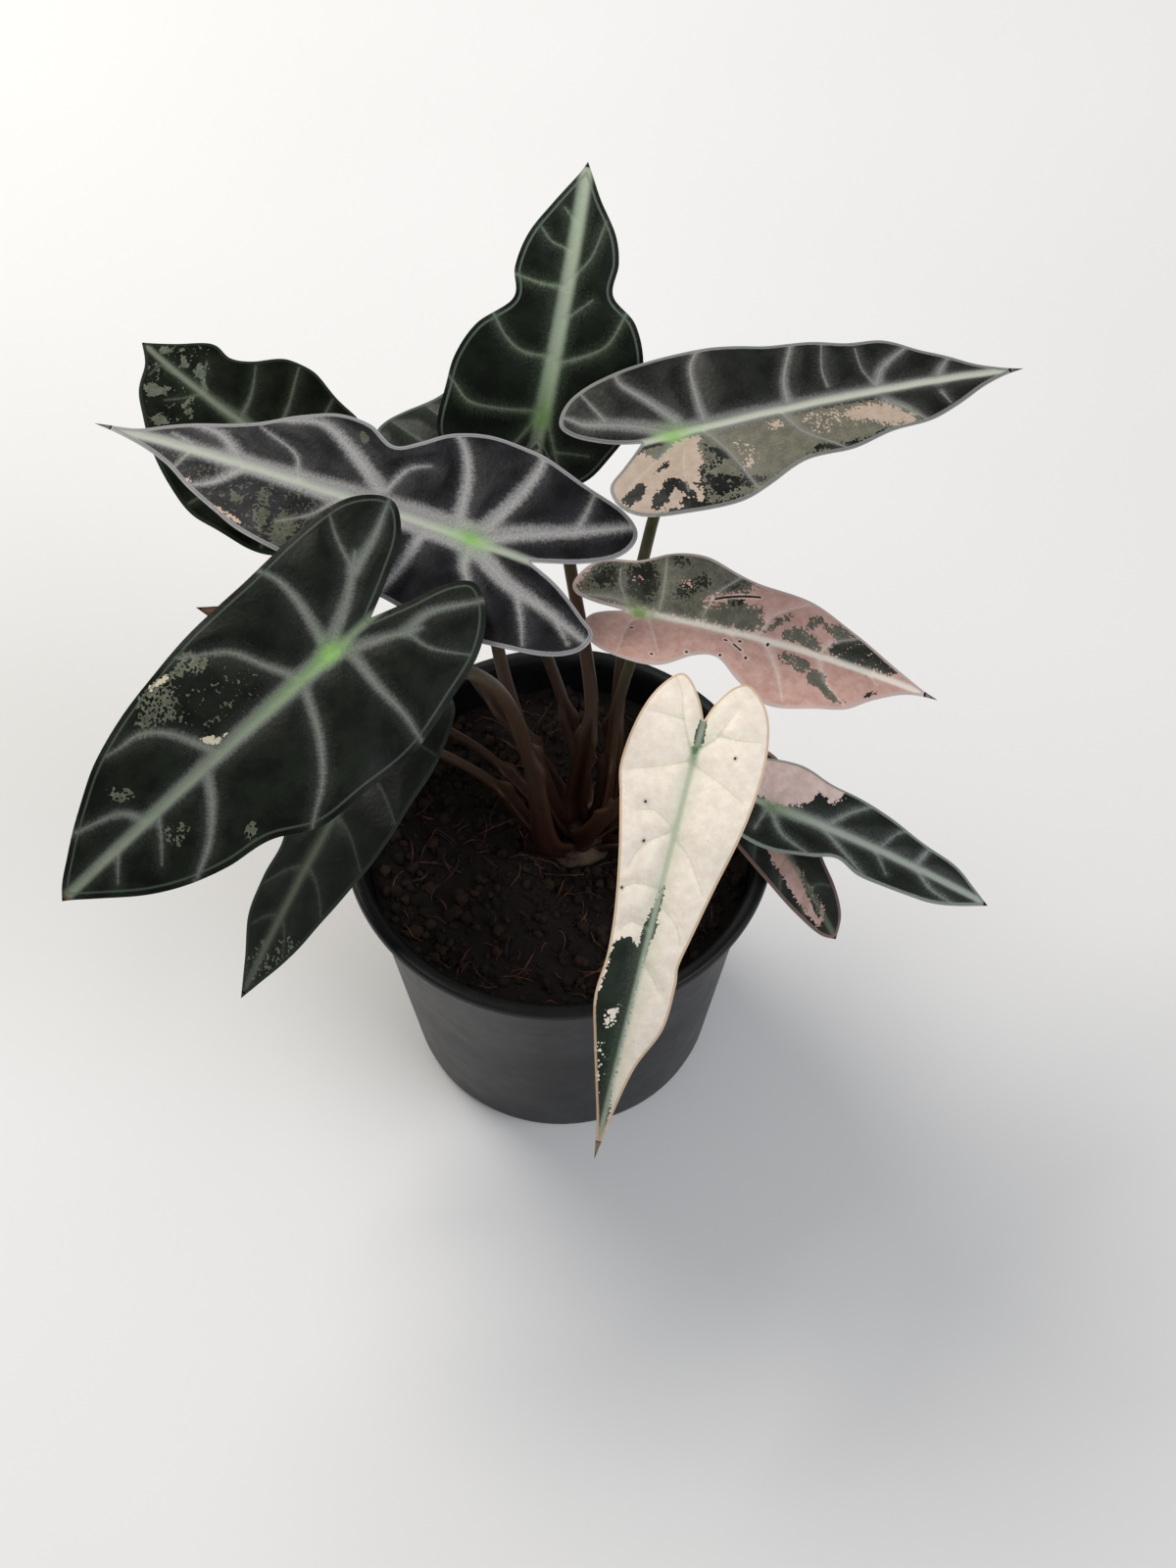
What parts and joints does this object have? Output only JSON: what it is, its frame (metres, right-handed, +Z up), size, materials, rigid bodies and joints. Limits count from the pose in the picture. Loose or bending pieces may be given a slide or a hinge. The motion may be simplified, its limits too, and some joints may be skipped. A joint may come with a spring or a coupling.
{
  "type": "potted variegated bambino alocasia",
  "caption": "Small potted aroid with arrowhead leaves on slender stalks, dark green with pale veins and partly cream and pink, in a plain round nursery pot filled with soil.",
  "frame": {"origin": "centre of the pot's base ring, on the surface that it stands on", "axes": "+Z up, -Y towards the plant's front, +X to its right as seen from the front"},
  "size_m": [0.2402, 0.2312, 0.2479],
  "materials": {
    "pot": "black polypropylene, satin with fine scuffs",
    "soil": "dark damp potting soil with coir fibres",
    "stem": "brown stem base, dry and slightly ridged",
    "stalk": "smooth brown-green leaf stalk, reddish towards the base",
    "green_blade": "satin dark green blade with pale grey-green veins",
    "mixed_blade": "satin blade, part dark green, part cream, pink and grey-green",
    "cream_blade": "satin cream-white blade with a dark green patch"
  },
  "bodies": {
    "root": {"pot": "pot", "soil": "soil", "stem": "stem", "stalk_top": "stalk", "stalk_upper_right": "stalk", "stalk_upper_left": "stalk", "stalk_back_left": "stalk", "stalk_left": "stalk", "stalk_right": "stalk", "stalk_front": "stalk", "stalk_lower_right": "stalk", "stalk_low_right": "stalk", "stalk_lower_left": "stalk", "stalk_behind": "stalk", "stalk_under_left": "stalk", "blade_top": "green_blade", "blade_upper_right": "mixed_blade", "blade_upper_left": "green_blade", "blade_back_left": "mixed_blade", "blade_left": "green_blade", "blade_right": "mixed_blade", "blade_front": "cream_blade", "blade_lower_right": "mixed_blade", "blade_low_right": "mixed_blade", "blade_lower_left": "green_blade", "blade_behind": "green_blade", "blade_under_left": "mixed_blade"}
  },
  "joints": []
}
